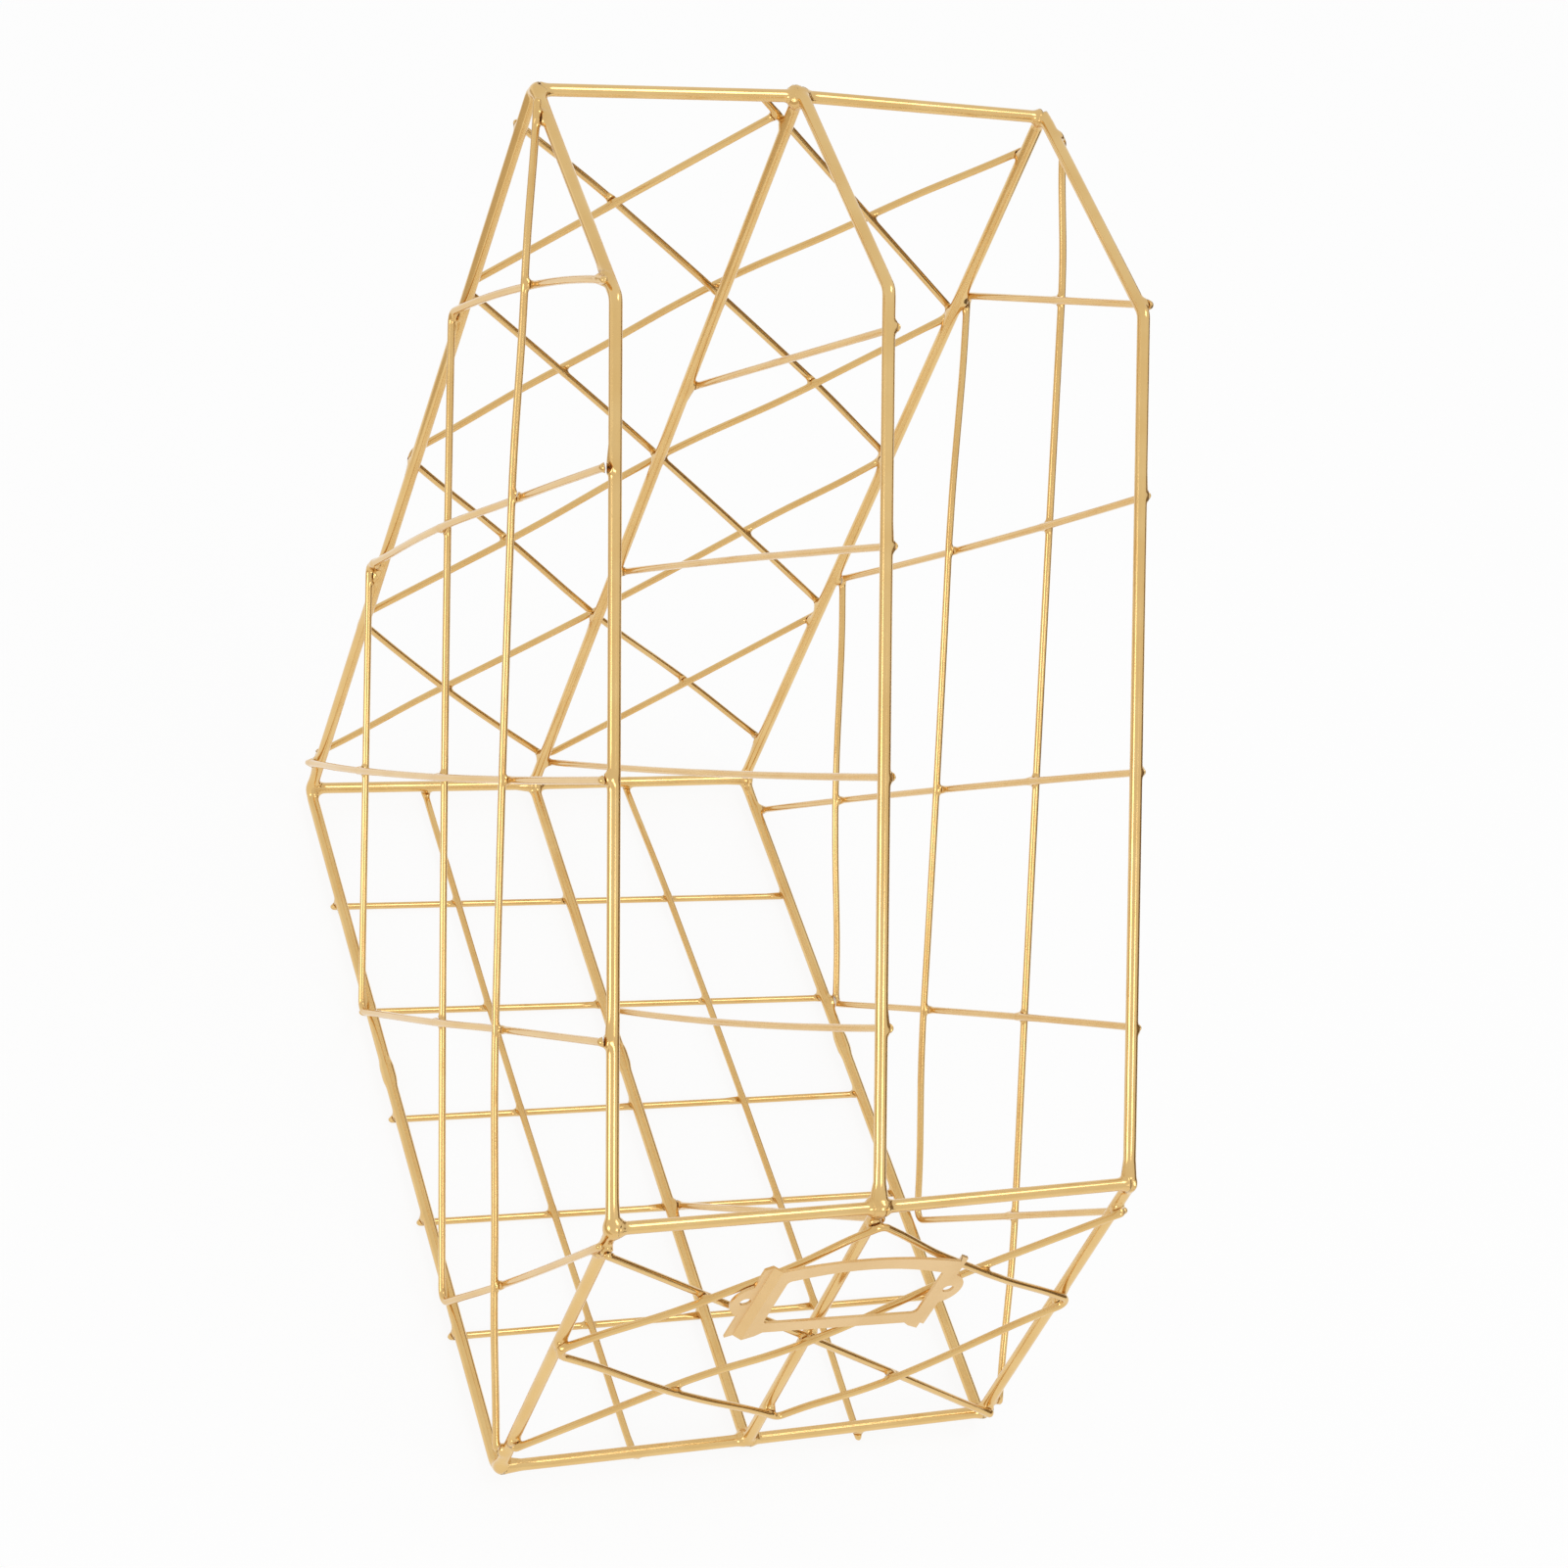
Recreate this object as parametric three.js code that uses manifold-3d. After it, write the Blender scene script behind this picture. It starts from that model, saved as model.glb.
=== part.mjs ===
import * as THREE from 'three';
import { mergeVertices } from 'three/addons/utils/BufferGeometryUtils.js';
import Module from 'manifold-3d';

// A desk magazine holder with two bays, welded from steel wire and standing on its floor wires.
// X runs to the right, the front with the card frame faces -Y, and Z = 0 is the desk.
// All sizes are in millimetres. Wire sizes and places are those of the wires' centre lines.

// Wires
const FRAME_WIRE = 3.5;
const MESH_WIRE = 2.1;
const CONTACT_GAP = 0.3;
const FRAME_SIDES = 12;
const MESH_SIDES = 8;

// The five-sided frames: two sides and the divider, which stands a little taller
const BAY_WIDTH = 76.3;
const DEPTH = 250;
const HEIGHT = 289;
const TOP_DEPTH = 82;
const FRONT_HEIGHT = 121;
const DIVIDER_EXTRA_HEIGHT = 3;
const FRAME_BEND = 4;
const BUTT_WELD_PLACE = 112;
const BUTT_WELD_LENGTH = 5;
const BUTT_WELD_SWELL = 0.45;

// Cross rods between the frames, with a weld collar at each end. Their ends sit a little off the
// middle of the frames' bends, by [forward, up].
const ROD_COLLAR_RADIUS = 2.5;
const ROD_COLLAR_LENGTH = 1.6;
const RODS = {
  rear_bottom: { left: [-0.4, 1.2], divider: [-0.4, -0.2], right: [1, 1] },
  rear_top: { left: [1.2, 1.6], divider: [-1, -0.4], right: [-0.6, 0.6] },
  slope_foot: { left: [0.1, 0.4], divider: [0.3, 0], right: [0.4, 1.2] },
  front_bottom: { left: [1.6, 1.8], divider: [0.6, -0.6], right: [1.6, 1.6] },
};

// Bends and ends of the thin wires
const MESH_BEND = 3;
const BACK_BEND = 4;
const CROSSING_HOLD = 3;
const RAMP_STEPS = 4;
const BOW_STEPS = 6;
const BEND_STEPS = 4;

// Side panels, in [depth forward, height]. Slope places are down the sloping leg from its top corner,
// `lowEnd` and the rail's ends are off the corners beside them, and a bow is how far a leg curves
// off its chord. `longLift` is how far the staples' long legs sink or rise where the short ones
// cross them, and `railLift` is the rail's lift over the outer staple, both in wire layers.
const SIDE_PANELS = {
  left: {
    slopeOverhang: 0.3,
    longLift: 0,
    railLift: 0.5,
    outer: { slopeTop: -4, rear: [-0.3, 207.5], front: [194.5, 0.5], lowEnd: [2.5, -3.2], bows: [-2.9, -2.3, -0.6] },
    inner: { slopeTop: 42.8, rear: [-2.2, 102.7], front: [88.5, 0], slopeLow: 188.7, bows: [-1.5, 0, 0] },
    cross: { rear: [-2, 12], slope: 121.7, bow: -1.8 },
    rail: { top: [10.6, 3.8], bottom: [-1, 11], bow: -4.7 },
  },
  right: {
    slopeOverhang: -1.5,
    longLift: -1,
    railLift: 1,
    outer: { slopeTop: -2.1, rear: [-1.5, 219], front: [180.6, 0], lowEnd: [1, -11.3], bows: [0, 2, 0] },
    inner: { slopeTop: 48.7, rear: [0, 98.5], front: [96, -0.5], slopeLow: 194.2, bows: [0.9, 2.5, 0.5] },
    cross: { rear: [12.9, -1.5], slope: 123.8, bow: 0.7 },
    rail: { top: [10, -1], bottom: [1, 8], bow: -1 },
  },
};

// Divider wires, each from the rear or the floor leg to a place down the sloping leg, or up the front leg
const DIVIDER_SLOPE_OVERHANG = -1;
const DIVIDER_WIRES = [
  { from: [-4, 176.8], slope: 9.8, bow: 0 },
  { from: [-1.5, 100.5], slope: 66.7, bow: 0.5 },
  { from: [-3.5, 7.4], slope: 127.5, bow: -1.2 },
  { from: [92.5, -1.5], slope: 194.1, bow: -1.6 },
  { from: [166.7, -1.5], belowFoot: 6, bow: 0 },
];

// Floor: cross wires under the frames, each [depth at the left, depth at the right], and two rails on them
const FLOOR_CROSS_WIRES = [[45, 49], [86.5, 91.5], [127, 130], [164.2, 168.2], [203.7, 206.2]];
const FLOOR_END_OVERHANG = 2.2;
const FLOOR_RAILS = {
  left: { rear: -37.4, front: -34.5, bow: 1.6, rearOverhang: 2, frontOverhang: -1 },
  right: { rear: 33, front: 36, bow: -1.5, rearOverhang: 0.8, frontOverhang: 2.2 },
};
const RAIL_END_LIFT = 0.6;

// Back lattice. A corner lies `shift` to the right of a frame, and `bow` belongs to the leg that
// starts there. The loop's wire starts against its own last leg, which runs on to the top rod.
const BACK_LOOP = [
  { frame: 'divider', shift: -3.3, height: HEIGHT - 8.4, bow: 0 },
  { frame: 'left', shift: -0.9, height: 214.6, bow: 1.2 },
  { frame: 'right', shift: 4.1, height: 81.1, bow: 0.3 },
  { frame: 'divider', shift: 2.1, height: 10.8, bow: 1.7 },
  { frame: 'left', shift: -1.3, height: 78.6, bow: 0.3 },
  { frame: 'right', shift: 2.6, height: 210.5, bow: 0 },
  { frame: 'divider', shift: -10.5, height: HEIGHT - 0.6 },
];
const BACK_CHEVRONS = {
  left: [
    { frame: 'right', shift: 3.6, height: 15.4, bow: 2.2 },
    { frame: 'left', shift: -2.4, height: 148.8, bow: 1.6 },
    { frame: 'right', shift: 2.2, height: HEIGHT - 14.9 },
  ],
  right: [
    { frame: 'left', shift: 0, height: 15.5, bow: -4 },
    { frame: 'right', shift: 1.6, height: 150.6, bow: -1.6 },
    { frame: 'left', shift: -0.7, height: HEIGHT - 15.2 },
  ],
};

// Front lattice, with corners as on the back
const FRONT_BEND = 3;
const FRONT_LOOP = [
  { frame: 'left', shift: -3.2, height: 67.2, bow: 1.4 },
  { frame: 'divider', shift: 1.9, height: FRONT_HEIGHT - 4.8, bow: 0 },
  { frame: 'right', shift: 3.2, height: 66.9, bow: -1 },
  { frame: 'divider', shift: 2.8, height: 18.6, bow: -1 },
];
const FRONT_DIAGONALS = {
  falling: [{ frame: 'left', shift: -0.5, height: FRONT_HEIGHT - 6.9, bow: 0.6 }, { frame: 'right', shift: 0.5, height: 5.3 }],
  rising: [{ frame: 'left', shift: -0.5, height: 17.5, bow: 0.8 }, { frame: 'right', shift: 0.5, height: FRONT_HEIGHT - 8.8 }],
};

// Card frame: one pressed sheet with a raised window, a flange down each side and an ear with a hole.
// It is welded on a little askew, by an angle of `turn` degrees that lifts its left end.
const CARD = {
  sheet: 0.8,
  turn: 3.2,
  aside: -1,
  middleHeight: 90,
  raise: 2.2,
  raisedHalf: 27,
  raisedDown: 12.5,
  slopeRun: 1.6,
  flangeWidth: 2.2,
  flangeUp: 17,
  flangeBelow: 5,
  sideBelow: 1.6,
  footCorner: 1.8,
  shoulder: 2,
  sideBorder: 3.4,
  topBorder: 4.4,
  bottomBorder: 4.5,
  windowCorner: 1.6,
  arch: 3.4,
  earRadius: 7.4,
  earReach: 4.4,
  earHoleInset: 4.2,
  earHole: 3.2,
};

const frameRadius = FRAME_WIRE / 2;
const meshRadius = MESH_WIRE / 2;
const layer = MESH_WIRE + CONTACT_GAP;
const face = frameRadius + CONTACT_GAP + meshRadius;
const floorLift = face + meshRadius * Math.cos(Math.PI / MESH_SIDES);

const finishes = {
  frame: { color: 0xd8b06a, metalness: 0.9, roughness: 0.34 },
  mesh: { color: 0xdcb672, metalness: 0.9, roughness: 0.32 },
  sheet: { color: 0xdcb878, metalness: 0.85, roughness: 0.42 },
};

const holder = new THREE.Group();

function addPiece(name, geometry, finish) {
  const piece = new THREE.Mesh(geometry, new THREE.MeshStandardMaterial(finishes[finish]));
  piece.name = name;
  holder.add(piece);
  return piece;
}

// Flat points: a pair of numbers in the plane of a panel.
const flat = (pair) => new THREE.Vector2(...pair);

// One straight or slightly bowed stretch of wire between two flat points.
class Leg {
  constructor(start, end, bow = 0) {
    this.start = start;
    this.end = end;
    this.bow = bow;
    this.length = start.distanceTo(end);
    this.along = end.clone().sub(start).normalize();
    this.side = new THREE.Vector2(-this.along.y, this.along.x);
  }

  at(share) {
    const point = this.start.clone().lerp(this.end, share);
    return point.addScaledVector(this.side, 4 * this.bow * share * (1 - share));
  }
}

// The share of leg `one` at which leg `other` crosses it.
function crossingShare(one, other) {
  let [s, t] = [0.5, 0.5];
  const step = 1e-4;
  for (let i = 0; i < 12; i += 1) {
    const gap = other.at(t).sub(one.at(s));
    const u = one.at(s + step).sub(one.at(s - step)).divideScalar(2 * step);
    const v = other.at(t + step).sub(other.at(t - step)).divideScalar(2 * step);
    const size = u.cross(v);
    s += gap.cross(v) / size;
    t += gap.cross(u) / size;
  }
  return s;
}

// Shares and lifts along a leg: `endLift` at both ends, and the named lift, in layers off the
// frames, where it crosses each other leg in `passes`.
function liftStations(leg, passes, endLift) {
  const hold = CROSSING_HOLD / leg.length;
  const plateaus = passes
    .map(([other, lift]) => ({ share: crossingShare(leg, other), lift }))
    .sort((one, other) => one.share - other.share);
  const stations = [{ share: 0, lift: endLift }];
  for (const { share, lift } of plateaus) {
    stations.push({ share: share - hold, lift }, { share: share + hold, lift });
  }
  stations.push({ share: 1, lift: endLift });
  return stations;
}

// Ring places along a leg, between the shares where its end bends start.
function legPoints(leg, { passes, endLift, place, first, last }) {
  const stations = liftStations(leg, passes, endLift);
  stations[0].share = first;
  stations[stations.length - 1].share = last;
  const points = [place(leg.at(first), endLift)];
  for (let i = 1; i < stations.length; i += 1) {
    const [from, to] = [stations[i - 1], stations[i]];
    const bowSteps = leg.bow === 0 ? 1 : Math.ceil(BOW_STEPS * (to.share - from.share));
    const steps = from.lift === to.lift ? bowSteps : RAMP_STEPS;
    for (let k = 1; k <= steps; k += 1) {
      const ease = (1 - Math.cos((Math.PI * k) / steps)) / 2;
      const share = THREE.MathUtils.lerp(from.share, to.share, k / steps);
      points.push(place(leg.at(share), THREE.MathUtils.lerp(from.lift, to.lift, ease)));
    }
  }
  return points;
}

// Round corner between two points at equal distances from it, without those two points.
function arcPoints(before, corner, after) {
  const a = before.clone().sub(corner);
  const b = after.clone().sub(corner);
  const half = a.angleTo(b) / 2;
  const radius = a.length() * Math.tan(half);
  const centre = a.clone().normalize().add(b.clone().normalize()).normalize();
  centre.multiplyScalar(radius / Math.sin(half)).add(corner);
  const from = before.clone().sub(centre);
  const to = after.clone().sub(centre);
  const turn = from.angleTo(to);
  const points = [];
  for (let k = 1; k < BEND_STEPS; k += 1) {
    const share = k / BEND_STEPS;
    const point = from.clone().multiplyScalar(Math.sin((1 - share) * turn) / Math.sin(turn));
    points.push(point.addScaledVector(to, Math.sin(share * turn) / Math.sin(turn)).add(centre));
  }
  return points;
}

// The whole centre line of a bent wire. `bends` says how round each corner between legs is,
// and `passes` holds a list for each leg of the other legs it crosses and its lift there.
function centreLine(legs, { place, bend, passes = [], endLift = 0, closed = false }) {
  const points = [];
  const count = legs.length;
  const tangent = (i) => {
    const turn = legs[i].along.angleTo(legs[(i + 1) % count].along);
    return bend * Math.tan(Math.abs(turn) / 2);
  };
  for (let i = 0; i < count; i += 1) {
    const leg = legs[i];
    const startsBent = closed || i > 0;
    const endsBent = closed || i < count - 1;
    const first = startsBent ? tangent((i + count - 1) % count) / leg.length : 0;
    const last = endsBent ? 1 - tangent(i) / leg.length : 1;
    points.push(...legPoints(leg, { passes: passes[i] ?? [], endLift, place, first, last }));
    if (endsBent) {
      const next = legs[(i + 1) % count];
      const after = place(next.at(tangent(i) / next.length), 0);
      points.push(...arcPoints(points[points.length - 1], place(leg.end, 0), after));
    }
  }
  return points;
}

// A closed tube of flat-sided section along a centre line. `up` is the panel's normal, and `swell`
// adds to the radius ring by ring.
function wireGeometry(points, { radius, sides, up, closed = false, swell = [] }) {
  const count = points.length;
  const positions = [];
  for (let i = 0; i < count; i += 1) {
    const before = closed ? points[(i + count - 1) % count] : points[Math.max(i - 1, 0)];
    const after = closed ? points[(i + 1) % count] : points[Math.min(i + 1, count - 1)];
    const along = after.clone().sub(before).normalize();
    const side = along.clone().cross(up).normalize();
    const out = side.clone().cross(along);
    for (let k = 0; k < sides; k += 1) {
      const angle = ((k + 0.5) / sides) * 2 * Math.PI;
      const ring = points[i].clone();
      const size = radius + (swell[i] ?? 0);
      ring.addScaledVector(out, size * Math.cos(angle)).addScaledVector(side, size * Math.sin(angle));
      positions.push(ring.x, ring.y, ring.z);
    }
  }
  const faces = [];
  const lastRing = closed ? count : count - 1;
  for (let i = 0; i < lastRing; i += 1) {
    for (let k = 0; k < sides; k += 1) {
      const a = i * sides + k;
      const b = i * sides + ((k + 1) % sides);
      const c = ((i + 1) % count) * sides + k;
      const d = ((i + 1) % count) * sides + ((k + 1) % sides);
      faces.push(a, b, c, b, d, c);
    }
  }
  if (!closed) {
    const end = (count - 1) * sides;
    for (let k = 1; k < sides - 1; k += 1) {
      faces.push(0, k + 1, k, end, end + k, end + k + 1);
    }
  }
  const geometry = new THREE.BufferGeometry();
  geometry.setAttribute('position', new THREE.Float32BufferAttribute(positions, 3));
  geometry.setIndex(faces);
  geometry.computeVertexNormals();
  return geometry;
}

// Where a flat point of each panel lies in space, at a lift counted in wire layers.
const sidePlace = (side) => (point, lift) =>
  new THREE.Vector3(side * (BAY_WIDTH + face + lift * layer), DEPTH / 2 - point.x, floorLift + point.y);
const dividerPlace = (point, lift) =>
  new THREE.Vector3(face + lift * layer, DEPTH / 2 - point.x, floorLift + point.y);
const floorPlace = (point, lift) =>
  new THREE.Vector3(point.x, DEPTH / 2 - point.y, floorLift - face + lift * layer);
const backPlace = (point, lift) =>
  new THREE.Vector3(point.x, DEPTH / 2 + face + lift * layer, floorLift + point.y);
const frontPlace = (point, lift) =>
  new THREE.Vector3(point.x, -DEPTH / 2 - face - lift * layer, floorLift + point.y);

const directions = {
  x: new THREE.Vector3(1, 0, 0),
  y: new THREE.Vector3(0, 1, 0),
  z: new THREE.Vector3(0, 0, 1),
};

function addMeshWire(name, legs, options) {
  const points = centreLine(legs, options);
  const { up, closed } = options;
  addPiece(name, wireGeometry(points, { radius: meshRadius, sides: MESH_SIDES, up, closed }), 'mesh');
}

function legsThrough(corners, { closed = false, bows = [] } = {}) {
  const ends = closed ? [...corners.slice(1), corners[0]] : corners.slice(1);
  return ends.map((end, i) => new Leg(corners[i], end, bows[i] ?? 0));
}

// Frames. Corners run from the rear of the floor leg up, over and down to its front.
const cornerNames = ['rear_bottom', 'rear_top', 'slope_top', 'slope_foot', 'front_bottom'];
const slopeTop = flat([TOP_DEPTH, HEIGHT]);
const slopeFoot = flat([DEPTH, FRONT_HEIGHT]);
const slopeAlong = slopeFoot.clone().sub(slopeTop).normalize();

function frameCorners(extraHeight) {
  const top = slopeTop.clone().addScaledVector(slopeAlong, extraHeight / slopeAlong.y);
  return [flat([0, 0]), flat([0, HEIGHT + extraHeight]), top, slopeFoot, flat([DEPTH, 0])];
}

const onSlope = (distance, top = slopeTop) => top.clone().addScaledVector(slopeAlong, distance);

function addFrame(name, x, extraHeight) {
  const place = (point) => new THREE.Vector3(x, DEPTH / 2 - point.x, floorLift + point.y);
  const legs = legsThrough(frameCorners(extraHeight), { closed: true });
  const points = centreLine(legs, { place, bend: FRAME_BEND, closed: true });
  // The butt weld is a slight swelling of the floor leg, which is the last stretch from front to rear.
  const lastCorner = BEND_STEPS - 1;
  const weldRings = [-1, -0.5, 0.5, 1].map((share) =>
    place(flat([BUTT_WELD_PLACE - share * BUTT_WELD_LENGTH, 0])));
  points.splice(points.length - lastCorner - 1, 0, ...weldRings);
  const swell = new Array(points.length).fill(0);
  swell[points.length - lastCorner - 4] = BUTT_WELD_SWELL;
  swell[points.length - lastCorner - 3] = BUTT_WELD_SWELL;
  const shape = { radius: frameRadius, sides: FRAME_SIDES, up: directions.x, closed: true, swell };
  addPiece(name, wireGeometry(points, shape), 'frame');
}

const frames = {
  left: { x: -BAY_WIDTH, extraHeight: 0 },
  divider: { x: 0, extraHeight: DIVIDER_EXTRA_HEIGHT },
  right: { x: BAY_WIDTH, extraHeight: 0 },
};
for (const [name, { x, extraHeight }] of Object.entries(frames)) {
  addFrame(`${name}_frame`, x, extraHeight);
}

// Rods lie level with the middle of the frames' bends.
function bendMiddle(corners, i) {
  const corner = corners[i];
  const a = corners[(i + corners.length - 1) % corners.length].clone().sub(corner).normalize();
  const b = corners[(i + 1) % corners.length].clone().sub(corner).normalize();
  const half = Math.acos(a.dot(b)) / 2;
  return corner.clone().addScaledVector(a.add(b).normalize(), FRAME_BEND / Math.sin(half) - FRAME_BEND);
}

function addRod(name, from, to) {
  const axis = to.clone().sub(from);
  const half = axis.length() / 2;
  const profile = [
    [0, -half], [ROD_COLLAR_RADIUS, -half], [frameRadius, ROD_COLLAR_LENGTH - half],
    [frameRadius, half - ROD_COLLAR_LENGTH], [ROD_COLLAR_RADIUS, half], [0, half],
  ];
  const rod = addPiece(name, new THREE.LatheGeometry(profile.map(flat), FRAME_SIDES), 'frame');
  rod.quaternion.setFromUnitVectors(directions.y, axis.normalize());
  rod.position.copy(from).add(to).multiplyScalar(0.5);
}

// Where a rod at a named corner ends against the side of a frame, -1 for its left side and 1 for its right
function rodEnd(corner, frame, side) {
  const { x, extraHeight } = frames[frame];
  const middle = bendMiddle(frameCorners(extraHeight), cornerNames.indexOf(corner));
  const point = middle.add(flat(RODS[corner][frame]));
  return new THREE.Vector3(x + side * (frameRadius + CONTACT_GAP), DEPTH / 2 - point.x, floorLift + point.y);
}

for (const corner of Object.keys(RODS)) {
  addRod(`${corner}_rod_left`, rodEnd(corner, 'left', 1), rodEnd(corner, 'divider', -1));
  addRod(`${corner}_rod_right`, rodEnd(corner, 'divider', 1), rodEnd(corner, 'right', -1));
}

// Side panels: an outer and an inner wire bent like a staple, a straight cross wire and a rail over them all
function stretched(leg, overhang) {
  return new Leg(leg.start, leg.end.clone().addScaledVector(leg.along, overhang), leg.bow);
}

function addSidePanel(name, { slopeOverhang, longLift, railLift, outer, inner, cross, rail }) {
  const slopeEnd = (distance, from) => {
    const end = onSlope(distance);
    return end.addScaledVector(end.clone().sub(from).normalize(), slopeOverhang);
  };
  const [outerRear, outerFront, innerRear, innerFront] = [outer.rear, outer.front, inner.rear, inner.front].map(flat);
  const outerLegs = legsThrough([
    slopeEnd(outer.slopeTop, outerRear), outerRear, outerFront, slopeFoot.clone().add(flat(outer.lowEnd)),
  ], { bows: outer.bows });
  const innerLegs = legsThrough([
    slopeEnd(inner.slopeTop, innerRear), innerRear, innerFront, slopeEnd(inner.slopeLow, innerFront),
  ], { bows: inner.bows });
  const crossLeg = stretched(new Leg(flat(cross.rear), onSlope(cross.slope), cross.bow), slopeOverhang);
  const railTop = flat([0, HEIGHT]).add(flat(rail.top));
  const railLeg = new Leg(railTop, flat([DEPTH, 0]).add(flat(rail.bottom)), rail.bow);
  const [outerTop, outerLong, outerLow] = outerLegs;
  const [innerTop, innerLong, innerLow] = innerLegs;
  const options = { place: sidePlace(Math.sign(frames[name].x)), bend: MESH_BEND, up: directions.x };
  const armLift = longLift + 1;
  addMeshWire(`${name}_outer_staple`, outerLegs, {
    ...options,
    passes: [
      [[railLeg, railLift - 1]],
      [[innerTop, longLift], [crossLeg, longLift], [innerLow, longLift]],
      [[railLeg, railLift - 1]],
    ],
  });
  addMeshWire(`${name}_inner_staple`, innerLegs, {
    ...options,
    passes: [
      [[outerLong, armLift], [railLeg, 0]],
      [[crossLeg, longLift]],
      [[outerLong, armLift], [railLeg, 0]],
    ],
  });
  addMeshWire(`${name}_cross_wire`, [crossLeg], {
    ...options,
    passes: [[[innerLong, armLift], [outerLong, armLift], [railLeg, 0]]],
  });
  const passes = [outerTop, outerLow].map((leg) => [leg, railLift]);
  passes.push(...[innerTop, crossLeg, innerLow].map((leg) => [leg, 1]));
  addMeshWire(`${name}_rail`, [railLeg], { ...options, passes: [passes] });
}

for (const [name, sizes] of Object.entries(SIDE_PANELS)) {
  addSidePanel(name, sizes);
}

// Divider wires, on the right face of the middle frame
const dividerSlopeTop = frameCorners(DIVIDER_EXTRA_HEIGHT)[2];
DIVIDER_WIRES.forEach(({ from, slope, belowFoot, bow }, i) => {
  const onFrontLeg = belowFoot !== undefined;
  const end = onFrontLeg ? flat([DEPTH, FRONT_HEIGHT - belowFoot]) : onSlope(slope, dividerSlopeTop);
  const leg = new Leg(flat(from), end, bow);
  const options = { place: dividerPlace, bend: MESH_BEND, up: directions.x };
  addMeshWire(`divider_wire_${i + 1}`, [stretched(leg, onFrontLeg ? 0 : DIVIDER_SLOPE_OVERHANG)], options);
});

// Floor
const floorOptions = { place: floorPlace, bend: MESH_BEND, up: directions.z };
const floorReach = BAY_WIDTH + FLOOR_END_OVERHANG;
const floorCrossLegs = FLOOR_CROSS_WIRES.map(([left, right]) =>
  new Leg(flat([-floorReach, left]), flat([floorReach, right])));
floorCrossLegs.forEach((leg, i) => addMeshWire(`floor_cross_wire_${i + 1}`, [leg], floorOptions));
for (const [name, { rear, front, bow, rearOverhang, frontOverhang }] of Object.entries(FLOOR_RAILS)) {
  const leg = new Leg(flat([rear, -rearOverhang]), flat([front, DEPTH + frontOverhang]), bow);
  const passes = [floorCrossLegs.map((other) => [other, 1])];
  addMeshWire(`floor_rail_${name}`, [leg], { ...floorOptions, passes, endLift: RAIL_END_LIFT });
}

// Legs through corners that are given by the frame they lie near
function latticeLegs(corners, closed = false) {
  const points = corners.map(({ frame, shift, height }) => flat([frames[frame].x + shift, height]));
  return legsThrough(points, { closed, bows: corners.map(({ bow }) => bow) });
}

// Back lattice: a loop on the frames with five bends, and two chevrons behind it
const loopLegs = latticeLegs(BACK_LOOP);
const leftChevron = latticeLegs(BACK_CHEVRONS.left);
const rightChevron = latticeLegs(BACK_CHEVRONS.right);
const backOptions = { place: backPlace, bend: BACK_BEND, up: directions.y };
addMeshWire('back_loop', loopLegs, {
  ...backOptions,
  passes: [[], [], [], [], [[leftChevron[0], 0], [loopLegs[1], 1], [rightChevron[1], 0]], []],
});
addMeshWire('back_chevron_left', leftChevron, {
  ...backOptions,
  passes: [
    [[loopLegs[2], 1], [rightChevron[0], 0], [loopLegs[4], 1]],
    [[loopLegs[1], 1], [rightChevron[1], 2], [loopLegs[5], 1]],
  ],
});
addMeshWire('back_chevron_right', rightChevron, {
  ...backOptions,
  passes: [
    [[loopLegs[3], 1], [leftChevron[0], 1], [loopLegs[1], 1]],
    [[loopLegs[4], 1], [leftChevron[1], 1], [loopLegs[0], 1]],
  ],
});

// Front lattice: two diagonals on the front legs and a four-cornered loop over them
const frontLoopLegs = latticeLegs(FRONT_LOOP, true);
const [fallingLeg] = latticeLegs(FRONT_DIAGONALS.falling);
const [risingLeg] = latticeLegs(FRONT_DIAGONALS.rising);
const cardFoot = CARD.raisedDown + CARD.flangeBelow;
const cardTurn = THREE.MathUtils.degToRad(CARD.turn);
const cardMiddle = flat([CARD.aside, CARD.middleHeight]);
const onCard = (across, up) => flat([across, up]).rotateAround(flat([0, 0]), -cardTurn).add(cardMiddle);
const cardSideLeg = (side) => {
  const across = side * CARD.raisedHalf;
  return new Leg(onCard(across, -cardFoot), onCard(across, CARD.flangeUp));
};
const frontOptions = { place: frontPlace, bend: FRONT_BEND, up: directions.y };
addMeshWire('front_loop', frontLoopLegs, {
  ...frontOptions,
  closed: true,
  passes: [
    [[fallingLeg, 1], [cardSideLeg(-1), 1]], [[cardSideLeg(1), 1], [risingLeg, 1]],
    [[fallingLeg, 1]], [[risingLeg, 1]],
  ],
});
addMeshWire('front_diagonal_falling', [fallingLeg], frontOptions);
addMeshWire('front_diagonal_rising', [risingLeg], {
  ...frontOptions,
  passes: [[[frontLoopLegs[3], 0], [fallingLeg, 1], [frontLoopLegs[1], 0]]],
});

// Card frame
const wasm = await Module();
wasm.setup();

function toSolid(geometry) {
  const bare = geometry.clone();
  bare.deleteAttribute('normal');
  bare.deleteAttribute('uv');
  const merged = mergeVertices(bare, 1e-4);
  return new wasm.Manifold(new wasm.Mesh({
    numProp: 3,
    vertProperties: new Float32Array(merged.attributes.position.array),
    triVerts: new Uint32Array(merged.index.array),
  }));
}

function toGeometry(solid) {
  const { vertProperties, triVerts } = solid.getMesh();
  const geometry = new THREE.BufferGeometry();
  geometry.setAttribute('position', new THREE.Float32BufferAttribute(vertProperties, 3));
  geometry.setIndex([...triVerts]);
  geometry.computeVertexNormals();
  return geometry;
}

const cardSlopeFoot = CARD.raisedHalf + CARD.slopeRun;
const cardFlangeHalf = cardSlopeFoot + CARD.flangeWidth;
const cardEarTip = cardFlangeHalf + CARD.earReach;

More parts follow.
